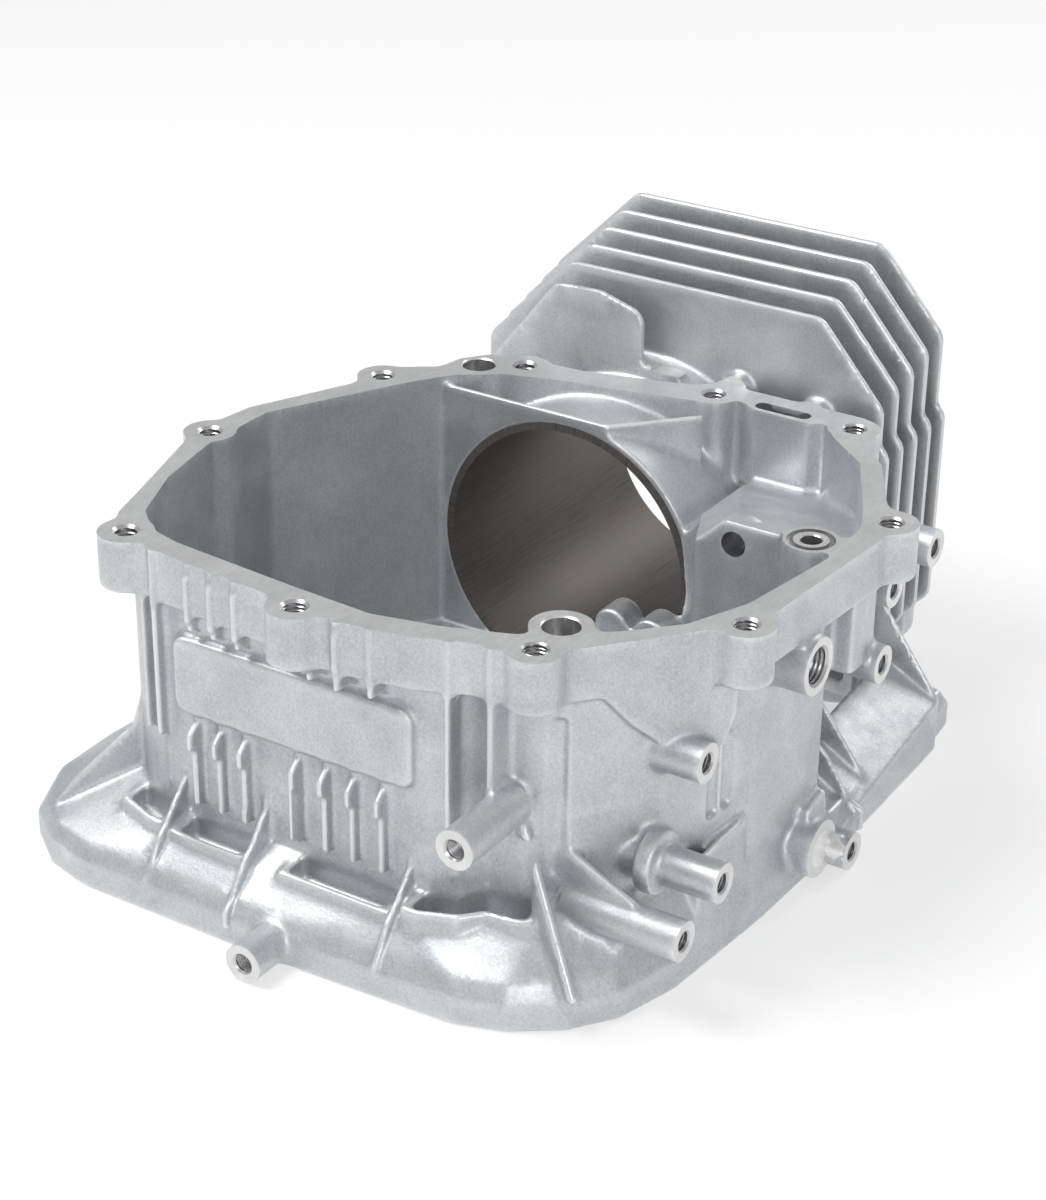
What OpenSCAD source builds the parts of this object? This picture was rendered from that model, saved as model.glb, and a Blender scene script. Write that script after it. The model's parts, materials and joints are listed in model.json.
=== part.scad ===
// Engine block of a single-cylinder air-cooled engine with a vertical shaft.
// One light-alloy casting with a cast-in iron sleeve. It stands on the skirt
// that carries the flywheel housing, with the open sump face up.
// X runs across the engine, Y along the cylinder towards the head, Z up the
// crankshaft. The origin is where the crank axis meets the base plane.

/* [Crankcase] */
// Height of the sump face above the base plane
case_h = 115; // [109:1:122]
// Width of the sump face across the engine
face_w = 222; // [216:1:230]
// Length of the sump face along the cylinder axis
face_l = 212; // [208:1:218]
// Depth of the thick band under the sump face
band_h = 17.5; // [14:0.5:21]
// How far the walls stand in from the band
band_step = 3.5; // [2.5:0.25:4.5]
// Height of the floor inside the crankcase
floor_z = 21; // [19:0.5:24]
// Thickness of that floor
floor_t = 7; // [5:0.5:9]
// Thickness of cast ribs and webs
rib_t = 2; // [1.6:0.1:3]
// Thickness of the crankcase walls under the band
wall_t = 4.5; // [4:0.25:5.5]

/* [Sump face fastenings] */
// Outer radius of the screw bosses
screw_boss_r = 8.8; // [8:0.2:10]
// Diameter of the tapped screw holes
screw_d = 6.8; // [6:0.1:8]
// Depth of the tapped screw holes
screw_depth = 15; // [12:0.5:16]
// Depth of the oil passage beside them
oil_depth = 20; // [18:0.5:22]
// Mouth diameter of their lead-in
screw_mouth_d = 8.6; // [8.2:0.1:9.5]
// Outer radius of the dowel bosses
dowel_boss_r = 9.6; // [9:0.2:10.5]
// Diameter of the dowel holes
dowel_d = 11.4; // [10:0.1:12]
// Depth of the dowel holes
dowel_depth = 8; // [5:0.5:12]

/* [Cylinder] */
// Diameter of the honed bore
bore_d = 92; // [88:1:95]
// Wall of the iron sleeve
sleeve_t = 2.5; // [2:0.1:3.5]
// Height of the bore axis above the base plane
bore_z = 60; // [58:0.5:62]
// Distance from the crank axis to the near end of the bore
bore_start = 80; // [78:0.5:82]
// Distance from the crank axis to the head face
deck_y = 193; // [189:1:198]
// Wall of the barrel round the sleeve
barrel_t = 7.5; // [6.5:0.5:9]
// Thickness of the head flange
deck_t = 9; // [7:0.5:12]

/* [Cooling fins] */
// Number of fins
fin_n = 5; // [4:1:5]
// Thickness of a fin
fin_t = 2.7; // [2:0.1:3.5]
// Distance from one fin to the next
fin_pitch = 11.1; // [10:0.1:11.5]
// Distance from the crank axis to the first fin
fin_y = 136; // [135:0.5:138]
// Height of the first fin's top edge above the base plane
fin_top = 143.2; // [138:0.2:148]
// How much taller each fin is than the one before it
fin_rise = 3.2; // [2:0.1:4]
// Width of the fins
fin_w = 160; // [154:1:166]

/* [Skirt] */
// How much wider the skirt is than the sump face
skirt_flare_w = 22; // [18:0.5:26]
// How much longer the skirt is than the sump face
skirt_flare_l = 38; // [33:0.5:43]
// Height of the skirt's upright rim
rim_h = 12; // [10:0.5:15]
// Height at which its slope meets the crankcase wall
slope_h = 34; // [31:0.5:37]
// Wall of the skirt
skirt_t = 4; // [3:0.25:5.5]

/* [Bosses] */
// Outer radius of the small tapped bosses
boss_r = 6.3; // [5.8:0.1:7]
// Diameter of their holes
boss_hole_d = 5.8; // [5:0.1:6.6]
// Depth of their holes
boss_hole_depth = 12; // [8:1:16]
// Outer radius of the oil port's ring
port_r = 9.2; // [8.5:0.1:10]
// Diameter of the oil port
port_d = 11.4; // [10:0.2:12.5]
// Outer radius of the plugged gallery's boss
plug_boss_r = 9.6; // [9:0.2:11]
// Diameter of the gallery plug
plug_d = 12; // [10:0.2:14]
// Length of the gallery plug
plug_l = 5; // [3:0.5:8]

/* [Crank and cam] */
// Diameter of the main bearing bore
main_d = 35; // [30:0.5:40]
// Length of the main bearing
main_l = 36; // [30:1:40]
// Wall round the main bearing
main_wall = 7; // [5:0.5:9]
// Diameter of the oil seal's seat
seal_d = 47; // [44:0.5:48]
// Depth of the oil seal's seat
seal_l = 8; // [6:0.5:10]
// Diameter of the camshaft bearing bore
cam_d = 16; // [14:0.5:20]
// Depth of the camshaft bearing bore
cam_l = 14; // [10:1:16]

/* [Hidden] */
$fn = 40;
// Overrun of every cut past the surface it opens
over = screw_d / 10;
// How far a rib or boss is rooted in what carries it
root = skirt_t;
// Fillet radius of the sump face outline and of the walls
outline_fillet = screw_boss_r / 2;
band_z = case_h - band_h;
sleeve_r = bore_d / 2 + sleeve_t;
barrel_r = sleeve_r + barrel_t;
skirt_w = face_w + skirt_flare_w;
skirt_l = face_l + skirt_flare_l;
// The barrel is thinner where it stands inside the crankcase
inner_barrel_r = barrel_r - sleeve_t - sleeve_t;
deck_in = deck_y - deck_t;

// Outline of the sump face without its bosses, as shares of its width and length
outline_shares = [
    [-0.3198, -0.3113], [-0.2703, -0.3538], [-0.2072, -0.3774], [0, -0.3962], [0.1171, -0.4104], [0.2252, -0.3901],
    [0.2973, -0.3585], [0.3694, -0.3538], [0.4324, -0.275], [0.5315, -0.1462], [0.5743, -0.0566], [0.5928, 0.2264],
    [0.5811, 0.2925], [0.545, 0.3443], [0.4842, 0.4599], [0.4324, 0.5094], [0.4234, 0.5566], [0.3874, 0.6061],
    [0.1622, 0.6061], [0.0901, 0.5684], [-0.0541, 0.5259], [-0.1486, 0.5189], [-0.2162, 0.5], [-0.2455, 0.4575],
    [-0.2523, 0.4104], [-0.3063, 0.3693], [-0.3266, 0.2689], [-0.3977, 0.1024], [-0.409, 0], [-0.3977, -0.059],
    [-0.3423, -0.2358]];
// Where the walls under the band stop in front and on the right, as such shares
wall_limit_shares = [
    [-0.5405, -0.3679], [0.2568, -0.3679], [0.2973, -0.3208], [0.3514, -0.3113], [0.4324, -0.2783], [0.482, -0.1934], [0.491, -0.1415], [0.5068, -0.0943],
    [0.5126, -0.0283], [0.527, 0.0142], [0.5405, 0.1349], [0.5428, 0.2075], [0.5428, 0.283], [0.6532, 0.3113], [0.6532, 0.7075],
    [-0.5405, 0.7075]];
// The air duct that leads to the fins behind the cam chest
duct_shares = [
    [0.2703, 0.3962], [0.3604, 0.1981], [0.5315, 0.1981], [0.6532, 0.2123], [0.6532, 0.6604], [0.1982, 0.6604], [0.1982, 0.5566]];
duct_mouth_shares = [[0.2793, 0.4057], [0.3694, 0.2217], [0.4459, 0.2217], [0.4459, 0.5708], [0.2432, 0.5708]];
hang_z = case_h * 0.61;
hang_y = face_l * 0.193;
// Swelling under the band at the front right corner: along its face, then height
bulge_shares = [
    [-0.02, 0.878], [0.319, 0.757], [0.559, 0.696], [0.827, 0.661], [1.138, 0.657],
    [1.238, 0.748], [1.255, 0.9], [-0.02, 0.9]];
// Upright channels cut into the walls: start and end in plan, foot and top
channel_shares = [
    [[0.3815, -0.3127], [0.4009, -0.2887], 0.3304, 0.7913],
    [[0.5072, -0.092], [0.5095, -0.0651], 0.3783, 0.6087],
    [[0.5104, -0.0575], [0.5126, -0.0311], 0.3783, 0.6087]];
channel_depth = rib_t * 1.25;
// Outline of the crankcase cavity, as shares of the sump face's sizes
cavity_shares = [
    [-0.364, 0.1024], [-0.3649, -0.0377], [-0.3378, -0.1731], [-0.2928, -0.283], [-0.2477, -0.3255], [-0.195, -0.3396],
    [0.0077, -0.3575], [0.1428, -0.3656], [0.2401, -0.342], [0.3288, -0.3066], [0.4356, -0.2217], [0.4955, -0.1533],
    [0.5329, -0.0552], [0.5577, 0.1274], [0.5518, 0.2439], [0.5257, 0.3066], [0.4541, 0.4481], [0.3784, 0.5142],
    [0.3514, 0.5566], [0.3266, 0.5387], [0.2329, 0.5401], [0.1982, 0.5613], [0.1712, 0.5283], [0.0824, 0.5033],
    [-0.0527, 0.4755], [-0.1577, 0.4401], [-0.2176, 0.3929], [-0.2626, 0.3146]];
// Places of the ten sump screws
screw_shares = [
    [-0.3914, -0.0052], [-0.3063, 0.3278], [-0.1468, 0.4934], [0.1532, 0.5613], [0.3914, 0.5608],
    [0.5788, 0.2858], [0.5577, -0.1094], [0.3712, -0.3269], [0.0505, -0.4033], [-0.2743, -0.3495]];
// Depths of their holes, which differ by as much as drilling leaves
screw_depth_shares = [1, 0.985, 1.015, 0.97, 1.03, 0.955, 1.045, 0.94, 1.06, 0.925];
// Places of the two dowels
dowel_shares = [[-0.2072, 0.4533], [0.3649, -0.2519]];
// Place of the oil pad and its radii as shares of the screw boss
oil_pad_share = [0.5126, 0.1698];
oil_pad_r = screw_boss_r;
oil_groove_r = oil_pad_r * 0.85;
oil_groove_in_r = oil_pad_r * 0.63;
oil_groove_depth = oil_pad_r * 0.25;
oil_hole_r = oil_pad_r * 0.38;
// Ends of the vent slot through the rear land
slot_shares = [[0.2387, 0.5613], [0.3063, 0.5613]];
slot_w = rib_t * 2.7;

// Outline of the skirt at the base plane, as shares of its width and length
skirt_shares = [
    [-0.2664, -0.398], [0.0492, -0.398], [0.2951, -0.386], [0.3607, -0.364], [0.418, -0.324], [0.459, -0.268],
    [0.4836, -0.18], [0.498, 0], [0.5041, 0.24], [0.4959, 0.44], [0.4836, 0.584], [0.4098, 0.6],
    [0.2459, 0.472], [-0.2459, 0.36], [-0.3648, 0.248], [-0.4057, 0.12], [-0.4262, 0], [-0.4365, -0.16],
    [-0.4324, -0.264], [-0.3975, -0.336], [-0.3361, -0.38]];

// Corner of the area that the slope leaves to the wing
wing_area_share = [0.4369, 0.2264];

// Where the skirt's slope ends inside the walls
slope_start_x = -face_w * 0.35;
slope_top_shares = [
    [-0.2973, -0.1887], [-0.2613, -0.2453], [-0.1982, -0.2736], [0.2703, -0.283], [0.4009, -0.2759], [0.4842, -0.1462],
    [0.5045, -0.0283], [0.2703, 0.1887], [-0.1802, 0.283], [-0.2973, 0.0472]];

// Full-height ribs on the front wall: place across, bottom and top as shares
long_rib_shares = [
    -0.2356, -0.2086, 0.268, 0.3243];
long_rib_foot_shares = [0.287, 0.287, 0.3043, 0.3391];
// Short ribs under the sump face, as shares of its width
upper_rib_shares = [-0.141, -0.0982, -0.0554, 0.073, 0.1203, 0.1676];
// Ribs under the name pad, as shares of the same width
lower_rib_shares = [
    -0.1464, -0.1036, -0.0608, 0.027, 0.0743, 0.1194, 0.1667];
rib_proud = rib_t * 2;
upper_rib_z = band_z - rib_t * 2.6;
rib_top_z = case_h - rib_t * 0.9;
lower_rib_z = case_h * 0.28;
lower_rib_top_z = case_h * 0.53;
// Name pad on the front wall, left blank
pad_w = face_w * 0.394;
pad_x_share = 0.0189;
pad_z = case_h * 0.548;
pad_h = case_h * 0.222;
pad_proud = rib_t * 1.5;
pad_r = pad_proud * 1.4;

// Gussets from the walls down to the skirt: the top's place and height, then the
// foot's, as shares of the face width, its length and the case height
gusset_shares = [
    [[-0.1779, -0.3491, 0.3304], [-0.1779, -0.467, 0.0957]],
    [[-0.0329, -0.3585, 0.3217], [-0.0329, -0.467, 0.0957]],
    [[0.2072, -0.3585, 0.313], [0.2072, -0.4575, 0.0957]],
    [[0.3423, -0.3113, 0.5304], [0.4775, -0.3868, 0.1043]],
    [[0.4099, -0.283, 0.4087], [0.5045, -0.283, 0.3217]],
    [[-0.2973, -0.3019, 0.3652], [-0.4054, -0.408, 0.0957]]];
// The wing beside the cylinder: its two end outlines, and the ribs that stand on it
wing_y = face_l * 0.604;
wing_start_y = face_l * 0.24;
wing_shares = [[0.3964, 0], [0.5495, 0], [0.5495, 0.1696], [0.4658, 0.2574], [0.3964, 0.287]];
wing_start_shares = [[0.3964, 0], [0.5586, 0], [0.5586, 0.0783], [0.4775, 0.1739], [0.3964, 0.2087]];
wing_rib_shares = [
    [[0.4279, 0.1739], [0.5495, 0.1739], [0.4437, 0.4522], [0.4279, 0.4522]],
    [[0.4279, 0.087], [0.545, 0.1217], [0.4685, 0.3174], [0.4279, 0.4]],
    [[0.4324, 0.087], [0.5721, 0.0261], [0.5694, 0.1009], [0.5486, 0.12], [0.5068, 0.2365], [0.4324, 0.3826]]];
wing_rib_y_shares = [0.594, 0.349, 0.285];

// Raised rims of the slots round the foot of the front wall: start and end
// across the face, as shares of its width
slot_rim_shares = [[-0.2793, -0.1847], [-0.1712, -0.0405], [0.018, 0.1982], [0.2207, 0.3874]];
slot_top_shares = [0.2217, 0.2113, 0.2139, 0.2478];
slot_gap = skirt_t * 2.2;
slot_rim_t = rib_t * 1.2;
slot_floor_z = rim_h * 1.45;
// The closed slot in the slope beside the right wall: start and end along the block
side_slot_share = [0.473, -0.1462];
side_slot_end_share = [0.5275, -0.0113];
side_slot_top_z = slope_h * 1.12;
side_slot_floor_z = slope_h * 0.85;

// Bosses that point along X: centre of the face as shares of face width, face
// length and case height, and how long each is as a share of its radius
side_boss_shares = [
    [[0.545, -0.1745, 0.6522], 3], [[0.5901, -0.2028, 0.3565], 5], [[0.5766, -0.2807, 0.2539], 6.2],
    [[0.5946, 0.2028, 0.0609], 3.2], [[0.5901, 0.2712, 0.5887], 4], [[0.5901, 0.4292, 0.8217], 4],
    [[0.5405, 0.4104, 0.6826], 3]];
side_port_share = [0.5923, 0.0472, 0.7696];
side_plug_share = [0.5766, 0.1335, 0.1243];
// The body that joins its boss to the wall above, as shares of the boss radius
plug_body_shares = [[-0.9, -0.3], [0.9, -0.3], [1.15, 0.7], [0.9, 1.7], [-0.2, 1.4]];
// Bosses that point along -Y
front_boss_share = [0.3414, -0.4717, 0.547];
rim_boss_share = [0.0405, -0.533, 0.0574];

// Web that closes the cam chest inside, and the top of the chest
chest_shares = [
    [0.2387, 0.3726], [0.3333, 0.1698], [0.4865, 0.1698], [0.5946, 0.1887], [0.5946, 0.2925], [0.4955, 0.4623], [0.3784, 0.5472],
    [0.3784, 0.5943], [0.2072, 0.5943], [0.2072, 0.3726]];
// Its left edge slopes down to the barrel
chest_edge_shares = [
    [0.5856, 0], [0.1982, 0], [0.1982, 0.6783], [0.2595, 0.8261], [0.341, 0.9191], [0.3716, 0.9765],
    [0.3964, 1.0261], [0.5856, 1.0261]];
chest_front_y = face_l * 0.17;
chest_front_z = case_h * 0.986;
chest_back_z = case_h * 0.783;
chest_back_y = face_l * 0.533;
chest_hole_share = [0.3941, 0.1698, 0.9235];
chest_hole_r = screw_d * 0.62;
// The thin ledge that keeps oil off the barrel
ledge_shares = [[-0.2252, 0.3774], [0.0676, 0.3774], [0.1712, 0.5]];
ledge_z = case_h * 0.978;
cam_share = [0.2613, 0.066];
// Bosses for the two tappets under the bore's near end
tappet_shares = [0.1171, 0.1847];
tappet_r = boss_r;
tappet_l = boss_r * 2;
tappet_z = case_h * 0.4;

// Fin outline: the flat part of the top edge, as shares of the fin width
fin_left_x = -fin_w * 0.425;
fin_right_x = fin_w + fin_left_x;
fin_flat_left_x = -fin_w * 0.2125;
fin_flat_right_x = fin_w * 0.4;
fin_side_z = fin_top * 0.785;
fin_foot_z = fin_top * 0.028;
fin_chamfer = fin_w * 0.155;
fin_corner_r = fin_t * 2.4;
fin_nick_z = fin_top * 0.72;
// Lobe plate between the crankcase and the first fin
lobe_y = fin_y - fin_pitch;
lobe_shares = [
    [-0.375, 0.2793], [-0.375, 0.7367], [-0.2125, 0.9679], [-0.1, 0.9742], [0.0125, 0.9378], [0.0125, 0.419]];
// Stud columns along the cylinder: across and up, as shares of fin width and top
column_shares = [[0.22, 0.78], [0.41, 0.76], [-0.24, 0.80], [0.22, 0.12], [-0.24, 0.12]];
column_r = boss_r * 0.85;
// Head bolt pattern
head_bolt_w = bore_d + column_r * 5;
head_bolt_h = bore_d - column_r * 2;
head_bolt_depth = deck_t * 2.4;
head_boss_r = screw_d / 2 + barrel_t / 2;

function across(s) = s * face_w;
function along(s) = s * face_l;
function up(s) = s * case_h;
function plan(p) = [across(p[0]), along(p[1])];
function plans(ps) = [for (p = ps) plan(p)];
function skirt_plans(ps) = [for (p = ps) [p[0] * skirt_w, p[1] * skirt_l]];
function front(p) = [across(p[0]), up(p[1])];
function place(p) = [across(p[0]), along(p[1]), up(p[2])];
// Where the band's front face lies at a share of the width
function band_face_y(s) = along(lookup(s, [for (i = [0 : 7]) outline_shares[i]]));

// A cylinder of length l that starts at p and points along +X
module bar_x(p, r, l) {
    translate(p) rotate([0, 90, 0]) cylinder(r = r, h = l);
}

// A cylinder of length l that starts at p and points along +Y
module bar_y(p, r, l) {
    translate(p) rotate([-90, 0, 0]) cylinder(r = r, h = l);
}

// A plate standing across the engine: an outline in X and Z, y its near face
module plate_y(y, t) {
    translate([0, y + t, 0]) rotate([90, 0, 0]) linear_extrude(t) children();
}

// Sump face with its bosses blended in, drawn in by a step
module face_outline(step) {
    offset(r = -outline_fillet) offset(r = outline_fillet) {
        offset(delta = -step) polygon(plans(outline_shares));
        for (s = screw_shares) translate(plan(s)) circle(r = screw_boss_r - step / 2);
    }
}

// The skin below the band carries no screw bosses
module skin_outline(grow) {
    offset(r = outline_fillet) offset(delta = grow - band_step - outline_fillet)
        polygon(plans(outline_shares));
}

// The walls stand further in than that skin in front and on the right
module wall_outline(grow) {
    intersection() {
        skin_outline(grow);
        offset(delta = grow) polygon(plans(wall_limit_shares));
    }
}

// The walls end in a rounded corner at the air duct
module duct_side_outline() {
    offset(r = outline_fillet) offset(delta = -outline_fillet) difference() {
        wall_outline(0);
        polygon(plans(duct_shares));
    }
}

// The cavity keeps clear of every boss that stands inside it
module cavity_outline() {
    offset(r = outline_fillet / 2) offset(r = -outline_fillet / 2) difference() {
        polygon(plans(cavity_shares));
        for (s = screw_shares) translate(plan(s)) circle(r = screw_boss_r);
        for (s = dowel_shares) translate(plan(s)) circle(r = dowel_boss_r);
        translate(plan(oil_pad_share)) circle(r = oil_pad_r);
    }
}

// The upright walls, the floor and the thick band round the sump face
module case_walls() {
    difference() {
        union() {
            translate([0, 0, band_z]) linear_extrude(band_h) face_outline(0);
            translate([0, 0, floor_z - floor_t]) linear_extrude(band_z - floor_z + floor_t)
                duct_side_outline();
            translate([0, 0, hang_z]) linear_extrude(band_z - hang_z) intersection() {
                skin_outline(0);
                translate([across(duct_shares[5][0]), hang_y]) square(face_l);
            }
        }
        duct();
        for (c = channel_shares) channel(c);
    }
    bulge();
}

// The duct runs up to the underside of the ramp, inside the hanging skin
module duct() {
    intersection() {
        linear_extrude(case_h) intersection() {
            polygon(plans(duct_shares));
            skin_outline(-wall_t);
        }
        ramp_form(wall_t);
    }
}

// All that lies more than a drop below the ramp over the cam chest
module ramp_form(drop) {
    rotate([90, 0, 90]) linear_extrude(face_w)
        polygon([[chest_front_y, 0], [face_l, 0], [face_l, chest_back_z - drop],
                 [chest_back_y, chest_back_z - drop], [chest_front_y, chest_front_z - drop]]);
}

// A plate on the line from a to b, with children in run and height
module plate_along(a, b, t) {
    translate([a[0], a[1], 0]) rotate(atan2(b[1] - a[1], b[0] - a[0]))
        translate([0, t, 0]) rotate([90, 0, 0]) linear_extrude(t) children();
}

module bulge() {
    a = plan(outline_shares[8]);
    b = plan(outline_shares[9]);
    plate_along(a, b, band_h * 0.75)
        polygon([for (p = bulge_shares) [p[0] * norm(b - a), up(p[1])]]);
}

module channel(c) {
    a = plan(c[0]);
    b = plan(c[1]);
    translate([a[0], a[1], up(c[2])]) rotate(atan2(b[1] - a[1], b[0] - a[0]))
        translate([0, -channel_depth, 0])
            cube([norm(b - a), channel_depth * 2, up(c[3] - c[2])]);
}

// Skirt: upright rim, rounded shoulder and slope up to the walls
module skirt_form(inset, lift) {
    difference() {
        hull() {
            linear_extrude(rim_h * 0.75 - lift * 0.75) skirt_outline(inset);
            translate([0, 0, rim_h * 1.15 - lift]) linear_extrude(over)
                skirt_outline(inset + rim_h * 0.25);
            translate([0, 0, slope_h * 0.63 - lift]) linear_extrude(over)
                offset(delta = -inset) intersection() {
                    wall_outline(slot_gap + slot_rim_t / 2);
                    translate([slope_start_x, -face_l]) square([face_w * 2, face_l * 0.75]);
                }
            translate([0, 0, slope_h - lift - over]) linear_extrude(over)
                offset(delta = -inset) polygon(plans(slope_top_shares));
        }
        translate([across(wing_area_share[0]) - inset, along(wing_area_share[1]) - inset,
                   rim_h * 1.2 - lift]) cube([face_w, face_l, case_h]);
    }
}

module skirt_outline(inset) {
    offset(delta = -inset) polygon(skirt_plans(skirt_shares));
}

// The wing of the skirt beside the cylinder, drawn in by an inset
module wing_form(inset) {
    hull() {
        plate_y(wing_y - over - inset, over) offset(delta = -inset)
            polygon([for (p = wing_shares) front(p)]);
        plate_y(wing_start_y, over) offset(delta = -inset)
            polygon([for (p = wing_start_shares) front(p)]);
    }
}

// Ribs across the wing, which carry on the line of the walls
module wing_ribs() {
    for (i = [0 : len(wing_rib_shares) - 1])
        plate_y(along(wing_rib_y_shares[i]), rib_t)
            polygon([for (p = wing_rib_shares[i]) front(p)]);
}

// Ribs and the blank name pad on the front wall
module front_ribs() {
    wall_y = along(wall_limit_shares[0][1]);
    rib_l = screw_boss_r;
    for (i = [0 : len(long_rib_shares) - 1])
        translate([across(long_rib_shares[i]) - rib_t / 2,
                   band_face_y(long_rib_shares[i]) - rib_t * 0.6,
                   up(long_rib_foot_shares[i])])
            cube([rib_t, rib_l, rib_top_z - up(long_rib_foot_shares[i])]);
    for (s = upper_rib_shares)
        translate([across(s) - rib_t / 2, band_face_y(s) - rib_t * 0.6, upper_rib_z])
            cube([rib_t, rib_l, rib_top_z - upper_rib_z]);
    for (s = lower_rib_shares)
        translate([across(s) - rib_t / 2, 0, 0]) rotate([90, 0, 90]) linear_extrude(rib_t)
            polygon([[wall_y - rib_proud * 1.5, lower_rib_z],
                     [wall_y + rib_l, lower_rib_z],
                     [wall_y + rib_l, lower_rib_top_z + rib_l],
                     [wall_y - rib_proud * 1.5, lower_rib_top_z - rib_proud]]);
    translate([across(pad_x_share), 0, pad_z + pad_h / 2])
        plate_y(wall_y - pad_proud, rib_l) offset(r = pad_r)
            square([pad_w - 2 * pad_r, pad_h - 2 * pad_r], center = true);
}

// A gusset stands on a line from its top place to its foot
module gusset(top, foot) {
    a = place(top);
    b = place(foot);
    run = norm([b[0] - a[0], b[1] - a[1]]);
    translate([a[0], a[1], 0]) rotate(atan2(b[1] - a[1], b[0] - a[0]))
        rotate([90, 0, 0]) translate([0, 0, -rib_t / 2]) linear_extrude(rib_t * 1.3)
            polygon([[-root, floor_z], [run * 0.6, rim_h * 0.6], [run, b[2]], [0, a[2]],
                     [-root, a[2]]]);
}

// Raised rims round the slots at the foot of the front wall and beside the right one
module slot_rims() {
    for (i = [0 : len(slot_rim_shares) - 1]) {
        s = slot_rim_shares[i];
        translate([0, 0, rim_h]) linear_extrude(up(slot_top_shares[i]) - rim_h) intersection() {
            wall_outline(slot_gap + slot_rim_t);
            translate([across(s[0]), -face_l / 2]) square([across(s[1] - s[0]), face_l / 3]);
        }
    }
    translate([0, 0, rim_h]) linear_extrude(side_slot_top_z - rim_h) side_slot_form(0);
}

// The stretch beside the right wall that holds the closed slot, drawn in by an inset
module side_slot_form(inset) {
    a = plan(side_slot_share);
    b = plan(side_slot_end_share);
    translate([a[0], a[1] + inset]) square([b[0] - a[0] - inset, b[1] - a[1] - inset * 2]);
}

// The pockets inside those rims, open at the top
module slot_cuts() {
    for (s = slot_rim_shares)
        translate([0, 0, slot_floor_z]) linear_extrude(slope_h) difference() {
            intersection() {
                wall_outline(slot_gap);
                translate([across(s[0]) + slot_rim_t, -face_l / 2])
                    square([across(s[1] - s[0]) - slot_rim_t * 2, face_l / 3]);
            }
            wall_outline(rib_t / 4);
        }
    translate([0, 0, side_slot_floor_z]) linear_extrude(slope_h) difference() {
        side_slot_form(rib_t * 0.9);
        wall_outline(rib_t / 4);
    }
}

// One finned plate: flat top, sloped shoulders, upright sides, cut lower corners
module fin(i) {
    top = fin_top + fin_rise * i;
    left_drop = (fin_flat_left_x - fin_left_x);
    right_drop = (fin_right_x - fin_flat_right_x);
    plate_y(fin_y + fin_pitch * i, fin_t)
        offset(r = fin_corner_r) offset(delta = -fin_corner_r)
            polygon([[fin_flat_left_x, top], [fin_left_x, top - left_drop],
                     [fin_left_x, fin_foot_z + fin_chamfer],
                     [fin_left_x + fin_chamfer, fin_foot_z],
                     [fin_right_x - fin_chamfer, fin_foot_z],
                     [fin_right_x, fin_foot_z + fin_chamfer],
                     [fin_right_x, fin_nick_z], [fin_right_x - fin_rise, fin_nick_z],
                     [fin_right_x - fin_rise, top - right_drop],
                     [fin_flat_right_x, top]]);
}

module fins() {
    for (i = [0 : fin_n - 1]) fin(i);
    plate_y(lobe_y, fin_t) offset(r = fin_corner_r) offset(delta = -fin_corner_r)
        polygon([for (p = lobe_shares) [p[0] * fin_w, p[1] * fin_top]]);
}

// The barrel, its head flange and the stud columns that run through the fins
module barrel() {
    bar_y([0, bore_start, bore_z], inner_barrel_r, deck_y - bore_start);
    bar_y([0, along(outline_shares[17][1]) - root, bore_z], barrel_r,
          deck_y - along(outline_shares[17][1]) + root);
    plate_y(deck_in, deck_t) offset(r = fin_corner_r) offset(delta = -fin_corner_r)
        translate([fin_left_x + fin_corner_r, fin_foot_z])
            square([fin_w - fin_corner_r * 2.5, bore_z * 2 - fin_foot_z * 2]);
    for (s = column_shares)
        bar_y([s[0] * fin_w, along(outline_shares[17][1]) - root, s[1] * fin_top],
              column_r, deck_y - along(outline_shares[17][1]) + root);
    for (x = [-1, 1], z = [-1, 1])
        bar_y([x * head_bolt_w / 2, deck_y - head_bolt_depth - root,
               bore_z + z * head_bolt_h / 2], head_boss_r, head_bolt_depth + root - over);
}

// What stays solid inside the cavity: the barrel's root and the cam chest
module inner_forms() {
    bar_y([0, bore_start, bore_z], inner_barrel_r, face_l / 2);
    translate([-inner_barrel_r, bore_start, 0])
        cube([inner_barrel_r * 2, face_l / 2, bore_z]);
    intersection() {
        linear_extrude(case_h) polygon(plans(chest_shares));
        ramp_form(0);
        plate_y(0, face_l) polygon([for (p = chest_edge_shares) front(p)]);
    }
    ledge();
}

module ledge() {
    for (i = [0, 1]) {
        a = plan(ledge_shares[i]);
        b = plan(ledge_shares[i + 1]);
        translate([a[0], a[1], bore_z]) rotate(atan2(b[1] - a[1], b[0] - a[0]))
            cube([norm(b - a), rib_t, ledge_z - bore_z]);
    }
}

module cavity() {
    difference() {
        union() {
            translate([0, 0, floor_z]) linear_extrude(case_h) intersection() {
                cavity_outline();
                offset(delta = -wall_t) polygon(plans(wall_limit_shares));
            }
            translate([0, 0, band_z + wall_t]) linear_extrude(band_h) cavity_outline();
        }
        inner_forms();
    }
}

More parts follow.
